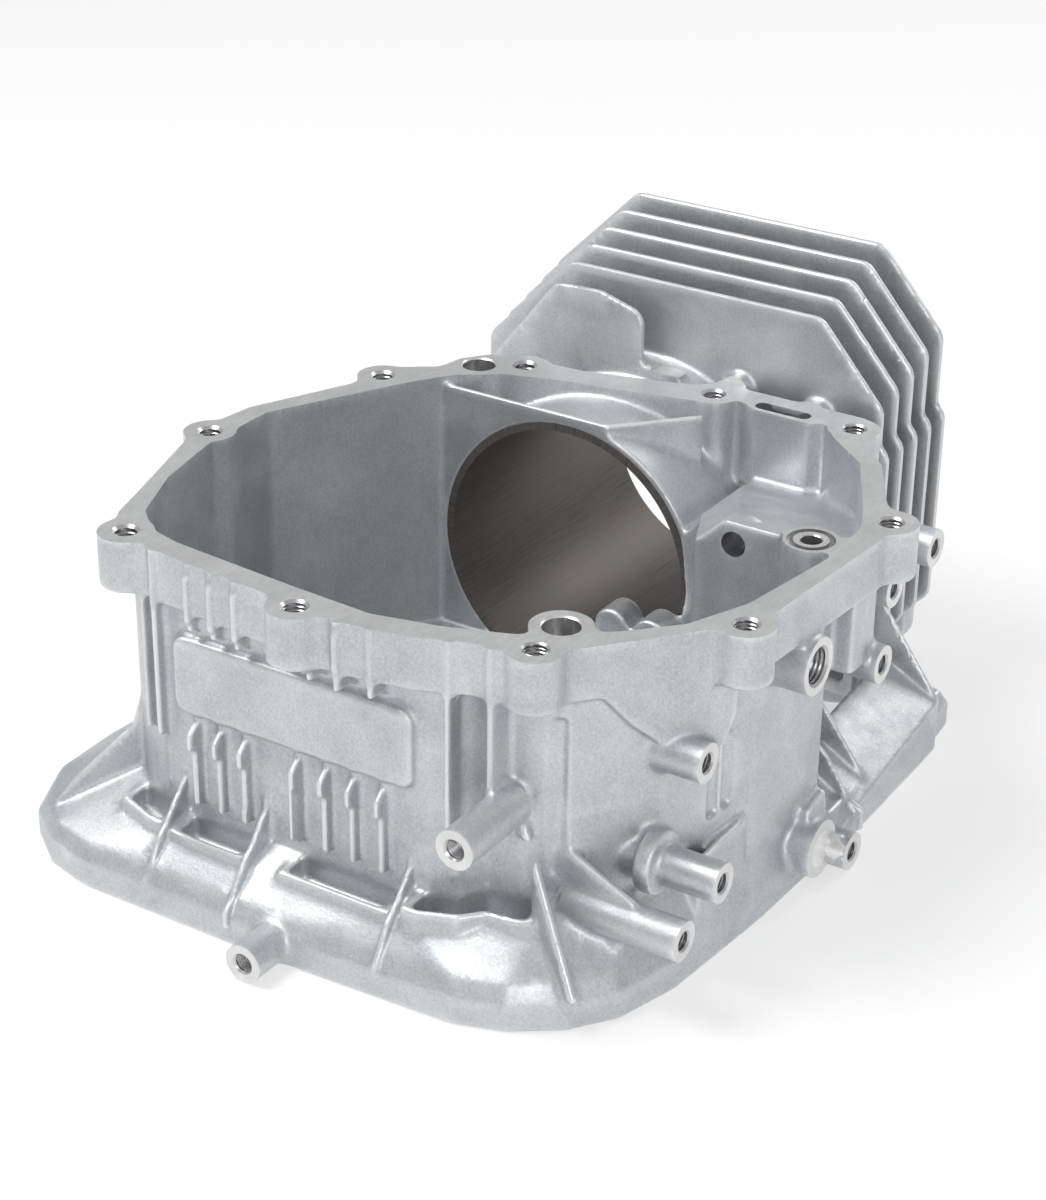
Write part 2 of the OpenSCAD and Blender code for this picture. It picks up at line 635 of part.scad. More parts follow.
// Main bearing hub and cam boss on the floor, with their webs
module floor_hubs() {
    cylinder(d = seal_d + main_wall, h = floor_z);
    cylinder(d = main_d + main_wall * 2, h = seal_l + main_l);
    translate([0, 0, floor_z - floor_t]) translate(plan(cam_share))
        cylinder(d = cam_d + main_wall * 2, h = cam_l + root);
    for (a = [20 : 60 : 320]) rotate(a) {
        translate([0, -rib_t / 2, floor_z - rib_t]) cube([face_l * 0.3, rib_t, rib_t + root]);
        translate([seal_d / 2, -rib_t / 2, floor_z - floor_t - root])
            cube([face_l * 0.26, rib_t, root + rib_t]);
    }
    for (x = tappet_shares) {
        bar_y([across(x), bore_start - tappet_l, tappet_z], tappet_r, tappet_l + root);
        translate([across(x) - rib_t, bore_start - tappet_l + rib_t, floor_z - rib_t])
            cube([rib_t * 2, tappet_l, tappet_z - floor_z + rib_t]);
    }
}

module side_bosses() {
    for (b = side_boss_shares) {
        p = place(b[0]);
        bar_x([p[0] - boss_r * b[1], p[1], p[2]], boss_r, boss_r * b[1]);
    }
    port = place(side_port_share);
    bar_x([port[0] - port_r * 2, port[1], port[2]], port_r, port_r * 2);
    plug = place(side_plug_share);
    bar_x([plug[0] - plug_boss_r * 2, plug[1], plug[2]], plug_boss_r, plug_boss_r * 2);
    translate([plug[0] - plug_boss_r * 2, 0, 0]) rotate([90, 0, 90])
        linear_extrude(plug_boss_r * 1.6)
            polygon([for (p = plug_body_shares)
                [plug[1] + p[0] * plug_boss_r, plug[2] + p[1] * plug_boss_r]]);
    arm = place(side_boss_shares[3][0]);
    translate([plug[0] - plug_boss_r * 1.2, 0, 0]) rotate([90, 0, 90])
        linear_extrude(plug_boss_r * 1.3)
            polygon([[plug[1], plug[2] - boss_r], [arm[1], arm[2] - boss_r * 0.8],
                     [arm[1], arm[2] + boss_r * 0.8], [plug[1], plug[2] + boss_r]]);
    collar = place(side_boss_shares[1][0]);
    bar_x([collar[0] - boss_r * 4, collar[1], collar[2]], boss_r * 1.6, boss_r * 0.9);
    front_boss = place(front_boss_share);
    bar_y(front_boss, boss_r, boss_r * 5);
    rim_boss = place(rim_boss_share);
    bar_y(rim_boss, boss_r, boss_r * 2.4);
}

module side_holes() {
    for (b = side_boss_shares) {
        p = place(b[0]);
        bar_x([p[0] - boss_hole_depth, p[1], p[2]], boss_hole_d / 2, boss_hole_depth + over);
    }
    port = place(side_port_share);
    bar_x([port[0] - port_r * 3, port[1], port[2]], port_d / 2, port_r * 3 + over);
    plug = place(side_plug_share);
    bar_x([plug[0] - plug_l, plug[1], plug[2]], plug_d / 2, plug_l + over);
    for (s = [front_boss_share, rim_boss_share])
        bar_y(place(s) - [0, over, 0], boss_hole_d / 2, boss_hole_depth + over);
}

module face_holes() {
    mouth = (screw_mouth_d - screw_d) / 2;
    for (i = [0 : len(screw_shares) - 1]) translate(plan(screw_shares[i])) {
        depth = screw_depth * screw_depth_shares[i];
        translate([0, 0, case_h - depth]) cylinder(d = screw_d, h = depth + over);
        translate([0, 0, case_h - mouth])
            cylinder(d1 = screw_d, d2 = screw_mouth_d, h = mouth);
    }
    for (s = dowel_shares) translate(plan(s)) {
        translate([0, 0, case_h - dowel_depth]) cylinder(d = dowel_d, h = dowel_depth + over);
        translate([0, 0, case_h - screw_depth]) cylinder(d = screw_d, h = screw_depth);
    }
    translate(plan(oil_pad_share)) {
        translate([0, 0, case_h - oil_depth])
            cylinder(r = oil_hole_r, h = oil_depth + over);
        translate([0, 0, case_h - oil_groove_depth]) difference() {
            cylinder(r = oil_groove_r, h = oil_groove_depth + over);
            cylinder(r = oil_groove_in_r, h = oil_groove_depth + over);
        }
    }
    translate([0, 0, case_h - band_h / 2]) linear_extrude(band_h) hull()
        for (s = slot_shares) translate(plan(s)) circle(d = slot_w);
}

// Bores along the crank axis, and the cam bearing
module floor_bores() {
    cylinder(d = main_d, h = seal_l + main_l + over);
    translate([0, 0, -over]) cylinder(d = seal_d, h = seal_l + over);
    translate(plan(cam_share)) translate([0, 0, floor_z - floor_t + root])
        cylinder(d = cam_d, h = cam_l + over);
}

module cylinder_bores() {
    bar_y([0, bore_start - over, bore_z], sleeve_r, deck_y - bore_start + over * 2);
    for (x = [-1, 1], z = [-1, 1])
        bar_y([x * head_bolt_w / 2, deck_y - head_bolt_depth, bore_z + z * head_bolt_h / 2],
              screw_d / 2, head_bolt_depth + over);
    chest_hole = place(chest_hole_share);
    bar_y(chest_hole - [0, over, 0], chest_hole_r, root * 3);
}

module crankcase() {
    color([0.63, 0.65, 0.66]) difference() {
        union() {
            difference() {
                union() {
                    case_walls();
                    front_ribs();
                    barrel();
                    fins();
                    difference() {
                        union() {
                            skirt_form(0, 0);
                            wing_form(0);
                            wing_ribs();
                        }
                        translate([0, 0, -over]) skirt_form(skirt_t, skirt_t);
                        translate([0, 0, -over]) wing_form(skirt_t);
                        linear_extrude(case_h) polygon(plans(duct_mouth_shares));
                    }
                    slot_rims();
                    for (g = gusset_shares) gusset(g[0], g[1]);
                    side_bosses();
                }
                cavity();
            }
            floor_hubs();
        }
        slot_cuts();
        side_holes();
        face_holes();
        floor_bores();
        cylinder_bores();
    }
}

module cylinder_sleeve() {
    color([0.36, 0.35, 0.34]) difference() {
        bar_y([0, bore_start, bore_z], sleeve_r, deck_y - bore_start);
        bar_y([0, bore_start - over, bore_z], bore_d / 2, deck_y - bore_start + over * 2);
    }
}

module gallery_plug() {
    plug = place(side_plug_share);
    color([0.86, 0.87, 0.87]) bar_x([plug[0] - plug_l, plug[1], plug[2]], plug_d / 2, plug_l);
}

crankcase();
cylinder_sleeve();
gallery_plug();
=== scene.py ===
"""Looks for the engine block: a shot-blasted die casting with milled faces and a honed iron sleeve.

The casting's solid is turned into a field of distances, where its corners get their cast radii and its
machined faces some stock. The milled faces, bores and threads are then cut, as they are on the real part.
"""

import json
import math

import bpy
import numpy as np
import openvdb
from mathutils import Euler, Matrix, Vector


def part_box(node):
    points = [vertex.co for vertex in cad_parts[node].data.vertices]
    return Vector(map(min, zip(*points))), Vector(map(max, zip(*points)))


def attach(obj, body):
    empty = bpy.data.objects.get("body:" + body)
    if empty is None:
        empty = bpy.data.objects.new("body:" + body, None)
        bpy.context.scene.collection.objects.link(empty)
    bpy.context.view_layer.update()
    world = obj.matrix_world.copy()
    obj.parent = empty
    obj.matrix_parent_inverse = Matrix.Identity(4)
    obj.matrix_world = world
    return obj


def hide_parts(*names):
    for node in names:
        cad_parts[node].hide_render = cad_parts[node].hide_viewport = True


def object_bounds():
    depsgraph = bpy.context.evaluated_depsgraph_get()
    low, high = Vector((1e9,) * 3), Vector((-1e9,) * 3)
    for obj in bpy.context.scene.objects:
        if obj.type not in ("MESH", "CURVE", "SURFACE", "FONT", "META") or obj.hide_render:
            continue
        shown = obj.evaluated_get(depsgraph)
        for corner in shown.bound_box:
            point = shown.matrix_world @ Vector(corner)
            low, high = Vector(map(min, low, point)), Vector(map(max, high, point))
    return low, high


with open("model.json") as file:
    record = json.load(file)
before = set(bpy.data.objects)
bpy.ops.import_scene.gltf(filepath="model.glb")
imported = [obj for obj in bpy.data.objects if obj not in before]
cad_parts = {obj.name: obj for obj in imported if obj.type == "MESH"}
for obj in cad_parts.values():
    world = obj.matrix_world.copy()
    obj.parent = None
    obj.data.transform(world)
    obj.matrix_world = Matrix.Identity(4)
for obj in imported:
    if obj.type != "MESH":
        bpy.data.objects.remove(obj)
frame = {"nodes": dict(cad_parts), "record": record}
cad_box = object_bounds()

MM = 0.001

# The camera that the photograph was taken with, fitted to the sump face and the bore
CAMERA_PLACE = Vector((433.1, -628.9, 467.7)) * MM
CAMERA_AZIMUTH = math.radians(32.39)
CAMERA_ELEVATION = math.radians(27.07)
CAMERA_ROLL = math.radians(0.72)
CAMERA_LENS = 81.0

# Field of distances: all its lengths are in mm
VOXEL = 0.75
CAST_RADIUS = 1.0
MARGIN = 6
STOCK = 1.6

# Heights and places of the machined faces, in mm
SUMP_Z = 115.0
DECK_Y = 193.0
# The sump face ends further forward on the left, in front of the fins' lobe
LOBE_X, FACE_Y_LEFT, FACE_Y_RIGHT = 6.0, 122.0, 131.5
SLEEVE_R = 48.5
BORE_R, BORE_Y, BORE_Z = 46, 80.0, 60.0
BOSS_R, PORT_R, PLUG_BOSS_R = 6.3, 9.2, 9.6
# Drilling inside the chest, with its mouth on the chest's front: place, radius and depth
CHEST_HOLE, CHEST_R, CHEST_DEPTH = (87.5, 36.0, 106.2), 4.2, 12.0

# Webs and ribs of the casting that stand proud of the solids, in mm
WEB = 2.2
GUSSETS = [
    ((-39.5, -74, 38), (-39.5, -99, 12)),
    ((-7.3, -76, 38), (-7.3, -101, 12)),
    ((46, -76, 37), (46, -98, 12)),
    ((-66, -64, 43), (-90, -86.5, 13))]
GUSSET_PROUD = 4.6
# Rows of ribs on the front wall: places across, lowest and highest point, and how proud they stand
RIB_ROWS = (
    ((-32.5, -23, -13.5, 6, 16.5, 26.5, 37), 31.5, 61.5, 4.2),
    ((-31.3, -21.8, -12.3, 16.2, 26.7, 37.2), 92.5, 113.2, 2.4))
# The wall's own place is measured this far beside a rib
BESIDE_RIB = 3.6

# Tapped holes: radius, radius at the mouth, pitch and depth of the thread
SCREW_HOLE = 3.4, 4.3, 1.25, 0.6
SIDE_HOLE = 2.9, 3.5, 1.0, 0.5
PORT_HOLE = 5.7, 6.6, 1.4, 0.35
SIDE_DEPTH, PORT_DEPTH, OIL_DEPTH = 12, 26, 20
# How much wider a spot face is than its boss, and how high its cut reaches over it
SPOT_LAND, SPOT_AIR = 0.9, STOCK * 2.2
DOWEL_R, DOWEL_DEPTH, DOWEL_MOUTH_R = 5.7, 8.0, 6.2
PLUG_R = 6.0
CAM_R, SEAL_R, MAIN_R = 8.0, 23.5, 17.5
# Slot in the sump face: its two ends, radius and depth
SLOT_ENDS, SLOT_R, SLOT_DEPTH = ((53, 119), (68, 119)), 2.7, 8.75
# Ring groove of the oil pad: inner and outer radius and depth
RING_INNER, RING_OUTER, RING_DEPTH = 5.54, 7.48, 2.2

SHARP_ANGLE = math.radians(38)
PIECE_TRIANGLES = 190000

SIDE_HOLES = ["side_boss_%d" % i for i in range(1, 8)]
FRONT_HOLES = ["front_boss", "rim_boss"]
BOSS_RADII = {"oil_port": PORT_R, **dict.fromkeys(SIDE_HOLES + FRONT_HOLES, BOSS_R)}

MOUNTS = {m["name"]: m for m in frame["record"]["mounts"]}


def mount_place(name):
    return np.array(MOUNTS[name]["pos_m"]) * 1000


def mount_size(name):
    dims = MOUNTS[name]["dims"]
    return dims["r_mm"], dims["length_mm"]


# Distances

class Field:
    """Signed distances to the casting's surface, at every voxel of a box round it."""

    def __init__(self, mesh):
        mesh.calc_loop_triangles()
        points = np.empty(len(mesh.vertices) * 3, np.float32)
        mesh.vertices.foreach_get("co", points)
        points = points.reshape(-1, 3) * 1000
        triangles = np.empty(len(mesh.loop_triangles) * 3, np.int32)
        mesh.loop_triangles.foreach_get("vertices", triangles)
        triangles = triangles.reshape(-1, 3).astype(np.uint32)
        self.start = np.floor(points.min(0) / VOXEL).astype(int) - MARGIN
        self.shape = np.ceil(points.max(0) / VOXEL).astype(int) + MARGIN - self.start
        # Growing the surface and drawing it back leaves a radius in every inside corner
        reach = CAST_RADIUS / VOXEL + 3
        transform = openvdb.createLinearTransform(voxelSize=VOXEL)
        grid = openvdb.FloatGrid.createLevelSetFromPolygons(
            points, triangles=triangles, transform=transform, halfWidth=reach)
        points, triangles, quads = grid.convertToPolygons(isovalue=CAST_RADIUS, adaptivity=0)
        grid = openvdb.FloatGrid.createLevelSetFromPolygons(
            points, triangles=triangles, quads=quads, transform=transform, halfWidth=reach)
        self.values = np.empty(self.shape, np.float32)
        grid.copyToArray(self.values, ijk=tuple(int(v) for v in self.start))
        self.values += CAST_RADIUS

    def window(self, low, high):
        """Slices of the voxels between two corners, and their coordinates."""
        first = np.clip(np.floor(np.array(low) / VOXEL).astype(int) - self.start, 0, self.shape)
        last = np.clip(np.ceil(np.array(high) / VOXEL).astype(int) - self.start + 1, 0, self.shape)
        axes = [(np.arange(a, b) + s) * VOXEL for a, b, s in zip(first, last, self.start)]
        grids = np.meshgrid(*axes, indexing="ij", sparse=True)
        return tuple(slice(a, b) for a, b in zip(first, last)), grids

    def add_rod(self, axis, centre, radius, low, high):
        """Adds a round bar along an axis, between two places on it."""
        others = [a for a in range(3) if a != axis]
        box = np.array([centre, centre], float)
        box[0, others] -= radius + 4
        box[1, others] += radius + 4
        box[:, axis] = low - 4, high + 4
        where, grids = self.window(*box)
        across = np.sqrt(sum((grids[a] - centre[a]) ** 2 for a in others)) - radius
        bar = np.maximum(across, np.maximum(low - grids[axis], grids[axis] - high))
        self.values[where] = np.minimum(self.values[where], bar)

    def raise_top(self, height, stock, spans):
        """Carries what ends in the sump face on above it, up to a depth for each span across."""
        level = int(round((height - 2) / VOXEL)) - self.start[2]
        for x_start, x_end, y_end in spans:
            first, last = (max(0, int(round(x / VOXEL)) - self.start[0]) for x in (x_start, x_end))
            rows = slice(0, int(round(y_end / VOXEL)) - self.start[1])
            base = self.values[first:last, rows, level]
            for k in range(level + 1, int(round((height + stock + 3) / VOXEL)) - self.start[2]):
                z = (k + self.start[2]) * VOXEL
                self.values[first:last, rows, k] = np.maximum(base, z - height - stock)

    def surface(self, axis, start, step, reach):
        """Where a line from a point along an axis first meets the metal."""
        spot = np.array(start, float)
        for _ in range(int(reach / abs(step))):
            at = np.round(spot / VOXEL).astype(int) - self.start
            if self.values[tuple(at)] < 0:
                break
            spot[axis] += step
        return spot[axis]

    def add_plate(self, origin, lead, thickness, low, outline):
        """Adds an upright plate whose top edge runs through points of distance along it and height."""
        lead = np.array(lead, float) / np.linalg.norm(lead)
        side = np.array((-lead[1], lead[0]))
        for (s0, z0), (s1, z1) in zip(outline, outline[1:]):
            ends = [np.array(origin) + lead * s for s in (s0, s1)]
            box = np.array([np.minimum(*ends) - 4, np.maximum(*ends) + 4])
            where, (x, y, z) = self.window((*box[0], low - 2), (*box[1], max(z0, z1) + 4))
            run = (x - origin[0]) * lead[0] + (y - origin[1]) * lead[1]
            off = np.abs((x - origin[0]) * side[0] + (y - origin[1]) * side[1]) - thickness / 2
            slope = (z1 - z0) / (s1 - s0)
            over = (z - z0 - slope * (run - s0)) / math.hypot(1, slope)
            plate = np.maximum(np.maximum(off, over), np.maximum(s0 - 0.2 - run, run - s1 - 0.2))
            plate = np.maximum(plate, low - z)
            self.values[where] = np.minimum(self.values[where], plate)

    def add_web(self, top, foot, proud):
        """A gusset between two places that stands proud of the slope all along."""
        lead = np.array(foot[:2], float) - top[:2]
        run = np.linalg.norm(lead)
        outline = [(-3.0, top[2])]
        for share in np.linspace(0, 1, 8):
            spot = np.array(top[:2]) + lead * share
            slope = self.surface(2, (*spot, top[2] + 12), -0.4, 70)
            line = top[2] + (foot[2] - top[2]) * share
            rise = proud * min(1, (1 - share) * 4)
            outline.append((run * share, max(line, min(slope, line + 9) + rise)))
        self.add_plate(top[:2], lead, WEB, 6, outline)

    def add_wall_rib(self, x, low, high, proud, beside):
        """An upright rib on the front wall, as proud all along; the wall is measured beside it."""
        for z0 in np.arange(low, high - 0.1, (high - low) / 6):
            z1 = z0 + (high - low) / 6
            face = min(self.surface(1, (x + beside, -108, (z0 + z1) / 2), 0.4, 45), -70)
            where, (gx, gy, gz) = self.window((x - 4, face - 6, z0 - 3), (x + 4, face + 5, z1 + 3))
            rib = np.maximum(np.abs(gx - x) - WEB / 2, face - proud - gy)
            rib = np.maximum(rib, np.maximum(gy - face - 3, np.maximum(z0 - 0.3 - gz, gz - z1 - 0.3)))
            slant = (gz - high - (gy - face) * 0.9) / 1.35
            self.values[where] = np.minimum(self.values[where], np.maximum(rib, slant))

    def soften(self, passes):
        """Rounds outside edges a little, as blasting leaves them."""
        for _ in range(passes):
            for axis in range(3):
                v = np.moveaxis(self.values, axis, 0)
                v[1:-1] = v[:-2] * 0.25 + v[1:-1] * 0.5 + v[2:] * 0.25

    def mesh(self, name, adaptivity):
        """The surface where the distance is nothing."""
        limit = 3.0 * VOXEL
        grid = openvdb.FloatGrid(limit)
        grid.transform = openvdb.createLinearTransform(voxelSize=VOXEL)
        grid.gridClass = openvdb.GridClass.LEVEL_SET
        grid.copyFromArray(np.clip(self.values, -limit, limit), ijk=tuple(int(v) for v in self.start))
        points, triangles, quads = grid.convertToPolygons(isovalue=0, adaptivity=adaptivity)
        loops = np.concatenate([triangles[:, ::-1].ravel(), quads[:, ::-1].ravel()]).astype(np.int32)
        sizes = np.concatenate([np.full(len(triangles), 3), np.full(len(quads), 4)])
        mesh = bpy.data.meshes.new(name)
        mesh.vertices.add(len(points))
        mesh.vertices.foreach_set("co", (points * MM).astype(np.float32).ravel())
        mesh.loops.add(len(loops))
        mesh.loops.foreach_set("vertex_index", loops)
        mesh.polygons.add(len(sizes))
        starts = np.concatenate([[0], np.cumsum(sizes)[:-1]]).astype(np.int32)
        mesh.polygons.foreach_set("loop_start", starts)
        mesh.update(calc_edges=True)
        mesh.validate()
        return mesh


# Cutting

CAST, MILLED, BORED, THREAD = range(4)


def add_object(name, mesh, materials):
    piece = bpy.data.objects.new(name, mesh)
    bpy.context.collection.objects.link(piece)
    for material in materials:
        mesh.materials.append(material)
    return piece


def mesh_of(name, points, faces, slots):
    """A mesh from points in mm, with one material slot for each face."""
    mesh = bpy.data.meshes.new(name)
    mesh.from_pydata([tuple(float(c) * MM for c in p) for p in points], [], faces)
    mesh.polygons.foreach_set("material_index", slots)
    mesh.update()
    return mesh


def lathe_parts(profile, mouth, outward, segments):
    """A closed turned body: profile rows are height over the mouth, radius and slot of the strip above."""
    out = Vector(outward)
    side = out.orthogonal().normalized()
    turns = [Matrix.Rotation(math.tau * i / segments, 3, out) @ side for i in range(segments)]
    points, faces, slots = [], [], []
    for height, radius, _ in profile:
        points += [Vector(mouth) + out * height + turn * radius for turn in turns]
    for row in range(len(profile) - 1):
        a, b = row * segments, (row + 1) * segments
        for i in range(segments):
            j = (i + 1) % segments
            faces.append((a + i, a + j, b + j, b + i))
            slots.append(profile[row][2])
    faces.append(tuple(range(segments))[::-1])
    slots.append(profile[0][2])
    last = (len(profile) - 1) * segments
    faces.append(tuple(range(last, last + segments)))
    slots.append(profile[-1][2])
    return points, faces, slots


def joined(name, parts):
    """One mesh of several parts."""
    points, faces, slots = [], [], []
    for more_points, more_faces, more_slots in parts:
        faces += [tuple(i + len(points) for i in face) for face in more_faces]
        points += more_points
        slots += more_slots
    return mesh_of(name, points, faces, slots)


def hole_profile(depth, radius, mouth_r, pitch=0.0, thread_depth=0.0, spot_r=0.0):
    """Rows of a drilled and tapped hole from its cone up to the air over its mouth."""
    rows = [(-depth - radius * 0.5, radius * 0.04, BORED), (-depth, radius, BORED)]
    if pitch:
        height = -depth + pitch * 2
        while height < -pitch * 1.2:
            rows.append((height, radius, THREAD))
            rows.append((height + pitch * 0.42, radius + thread_depth, THREAD))
            rows.append((height + pitch * 0.58, radius + thread_depth, THREAD))
            height += pitch
        rows.append((height, radius, THREAD))
    rows.append((-(mouth_r - radius), radius, BORED))
    rows.append((0, mouth_r, MILLED))
    if spot_r:
        rows.append((0, spot_r, MILLED))
        rows.append((SPOT_AIR, spot_r, MILLED))
    else:
        rows.append((SPOT_AIR, mouth_r, BORED))
    return rows


def cut(body, cutter_mesh):
    """Takes a mesh out of the body; its faces keep their finishes."""
    cutter = add_object("cutter", cutter_mesh, body.data.materials)
    modifier = body.modifiers.new("cut", "BOOLEAN")
    modifier.operation = "DIFFERENCE"
    modifier.solver = "MANIFOLD"
    modifier.object = cutter
    shape = bpy.data.meshes.new_from_object(body.evaluated_get(bpy.context.evaluated_depsgraph_get()))
    body.modifiers.clear()
    old, body.data = body.data, shape
    bpy.data.meshes.remove(old)
    bpy.data.objects.remove(cutter)
    bpy.data.meshes.remove(cutter_mesh)


def prism_parts(plan, low, high, slot):
    """An upright prism over an outline that runs anticlockwise."""
    n = len(plan)
    points = [(*p, z) for z in (low, high) for p in plan]
    faces = [tuple(range(n))[::-1], tuple(range(n, 2 * n))]
    faces += [(i, (i + 1) % n, n + (i + 1) % n, n + i) for i in range(n)]
    return points, faces, [slot] * len(faces)


def stadium_parts(a, b, radius, low, high, slot, segments=24):
    """An upright slot with round ends, from a to b in plan."""
    a, b = np.array(a, float), np.array(b, float)
    lead = math.atan2(b[1] - a[1], b[0] - a[0])
    plan = [a + radius * np.array((math.cos(t), math.sin(t)))
            for t in lead + math.pi / 2 + np.linspace(0, math.pi, segments)]
    plan += [b + radius * np.array((math.cos(t), math.sin(t)))
             for t in lead - math.pi / 2 + np.linspace(0, math.pi, segments)]
    return prism_parts(plan, low, high, slot)


def dowel_profile():
    """A dowel's seat over the tapped hole of its screw."""
    radius, _, pitch, thread_depth = SCREW_HOLE
    rows = hole_profile(15, radius, 3.6, pitch, thread_depth)
    seat = [(-DOWEL_DEPTH, 3.6, MILLED), (-DOWEL_DEPTH, DOWEL_R, BORED), (-0.5, DOWEL_R, MILLED),
            (0, DOWEL_MOUTH_R, MILLED), (4, DOWEL_MOUTH_R, MILLED)]
    return [row for row in rows if row[0] < -DOWEL_DEPTH - 0.6] + seat


def grow_bosses(field):
    """Fills the holes that are cut later, and gives each boss its stock."""
    for name, mount in MOUNTS.items():
        if mount["kind"] not in ("threaded_hole", "bore") or name in ("cylinder_bore", "oil_seal_seat"):
            continue
        place, (radius, length) = mount_place(name), mount_size(name)
        axis = int(np.argmax(np.abs(mount["axis"])))
        ahead = mount["axis"][axis]
        field.add_rod(axis, place, radius + 0.8, place[axis] - length / 2 - 1, place[axis] + length / 2 + 1)
        if name in BOSS_RADII:
            face = place[axis] + ahead * length / 2
            ends = sorted((face - ahead * 2, face + ahead * STOCK))
            field.add_rod(axis, place, BOSS_RADII[name], *ends)


def hole_parts(plug_low, plug_high, plug_centre):
    """Every drilled, tapped and bored hole as one list of turned bodies."""
    up, right, front = (0, 0, 1), (1, 0, 0), (0, -1, 0)
    parts = []
    for i in range(1, 11):
        name = "sump_screw_%d" % i
        mouth = (*mount_place(name)[:2], SUMP_Z)
        parts.append(lathe_parts(hole_profile(mount_size(name)[1] + 0.9, *SCREW_HOLE), mouth, up, 40))
    for i in (1, 2):
        mouth = (*mount_place("dowel_%d" % i)[:2], SUMP_Z)
        parts.append(lathe_parts(dowel_profile(), mouth, up, 48))
    oil = mount_place("oil_passage")
    parts.append(lathe_parts(hole_profile(OIL_DEPTH, 3.344, 3.7), (oil[0], oil[1], SUMP_Z), up, 40))
    side_rows = hole_profile(SIDE_DEPTH, *SIDE_HOLE, BOSS_R + SPOT_LAND)
    for name in SIDE_HOLES:
        x, y, z = mount_place(name)
        parts.append(lathe_parts(side_rows, (x + SIDE_DEPTH / 2, y, z), right, 40))
    for name in FRONT_HOLES:
        x, y, z = mount_place(name)
        parts.append(lathe_parts(side_rows, (x, y - SIDE_DEPTH / 2, z), front, 40))
    port = mount_place("oil_port")
    port_mouth = (port[0] + mount_size("oil_port")[1] / 2, port[1], port[2])
    port_rows = hole_profile(PORT_DEPTH, *PORT_HOLE, PORT_R + SPOT_LAND)
    parts.append(lathe_parts(port_rows, port_mouth, right, 56))
    plug_rows = [(-(plug_high - plug_low) * 1000, PLUG_R, BORED), (0, PLUG_R, MILLED),
                 (0, PLUG_BOSS_R + SPOT_LAND, MILLED), (SPOT_AIR, PLUG_BOSS_R + SPOT_LAND, MILLED)]
    parts.append(lathe_parts(plug_rows, (plug_high * 1000, *plug_centre[1:]), right, 48))
    chest_rows = [(-CHEST_DEPTH, CHEST_R, BORED), (3, CHEST_R, BORED)]
    parts.append(lathe_parts(chest_rows, CHEST_HOLE, front, 40))
    sleeve_rows = [(-0.7, SLEEVE_R, BORED), (DECK_Y - BORE_Y + 6, SLEEVE_R, MILLED)]
    parts.append(lathe_parts(sleeve_rows, (0, BORE_Y, BORE_Z), (0, 1, 0), 160))
    parts.append(stadium_parts(*SLOT_ENDS, SLOT_R, SUMP_Z - SLOT_DEPTH, SUMP_Z + 3, BORED))
    cam_rows = [(-7, CAM_R, BORED), (7, CAM_R, MILLED), (7.6, 8.6, MILLED), (9.6, 8.6, MILLED)]
    parts.append(lathe_parts(cam_rows, mount_place("camshaft_bearing"), up, 48))
    crank_rows = [(-12, SEAL_R, BORED), (8, SEAL_R, MILLED), (8, MAIN_R, BORED),
                  (44, MAIN_R, MILLED), (45.5, 19, MILLED), (47, 19, MILLED)]
    parts.append(lathe_parts(crank_rows, (0, 0, 0), up, 96))
    return parts


def make_casting(node):
    """The casting with its webs, ribs and stock, and then the cuts of the machine shop."""
    field = Field(node.data)
    field.raise_top(SUMP_Z, STOCK, ((-120, LOBE_X, FACE_Y_LEFT), (LOBE_X, 150, FACE_Y_RIGHT)))
    grow_bosses(field)
    field.add_rod(1, CHEST_HOLE, CHEST_R + 0.8, CHEST_HOLE[1], CHEST_HOLE[1] + CHEST_DEPTH + 1)
    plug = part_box("gallery_plug")
    plug_low, plug_high = plug[0][0], plug[1][0]
    plug_centre = [(a + b) / 2 * 1000 for a, b in zip(*plug)]
    field.add_rod(0, plug_centre, PLUG_BOSS_R, plug_high * 1000 - 8, plug_high * 1000 + STOCK)
    for top, foot in GUSSETS:
        field.add_web(top, foot, GUSSET_PROUD)
    for places, low, high, proud in RIB_ROWS:
        for x in places:
            field.add_wall_rib(x, low, high, proud, BESIDE_RIB)
    # The bore is cut again, so its wall and both its ends carry stock
    field.add_rod(1, (0, 0, BORE_Z), SLEEVE_R + 1, BORE_Y + 1, DECK_Y)
    field.soften(1)
    body = add_object("casting", field.mesh("casting", 0.02), MATERIALS)

    plan = [(-115, -115), (150, -115), (150, FACE_Y_RIGHT), (LOBE_X, FACE_Y_RIGHT),
            (LOBE_X, FACE_Y_LEFT), (-115, FACE_Y_LEFT)]
    cut(body, joined("top", [prism_parts(plan, SUMP_Z, SUMP_Z + 20, MILLED)]))
    cut(body, joined("holes", hole_parts(plug_low, plug_high, plug_centre)))
    # The groove has its own cut, because it lies round the oil passage
    oil_pad = mount_place("oil_passage")
    groove = groove_parts(oil_pad, RING_INNER, RING_OUTER, SUMP_Z - RING_DEPTH, SUMP_Z + 2)
    cut(body, joined("groove", [groove]))
    return body


def groove_parts(centre, inner, outer, bottom, top, segments=64):
    """A ring with a rectangular section."""
    points, faces = [], []
    for radius, z in ((inner, bottom), (outer, bottom), (outer, top), (inner, top)):
        points += [(centre[0] + radius * math.cos(math.tau * i / segments),
                    centre[1] + radius * math.sin(math.tau * i / segments), z) for i in range(segments)]
    for ring in range(4):
        a, b = ring * segments, (ring + 1) % 4 * segments
        faces += [(a + i, b + i, b + (i + 1) % segments, a + (i + 1) % segments) for i in range(segments)]
    return points, [face[::-1] for face in faces], [BORED] * len(faces)


# Materials

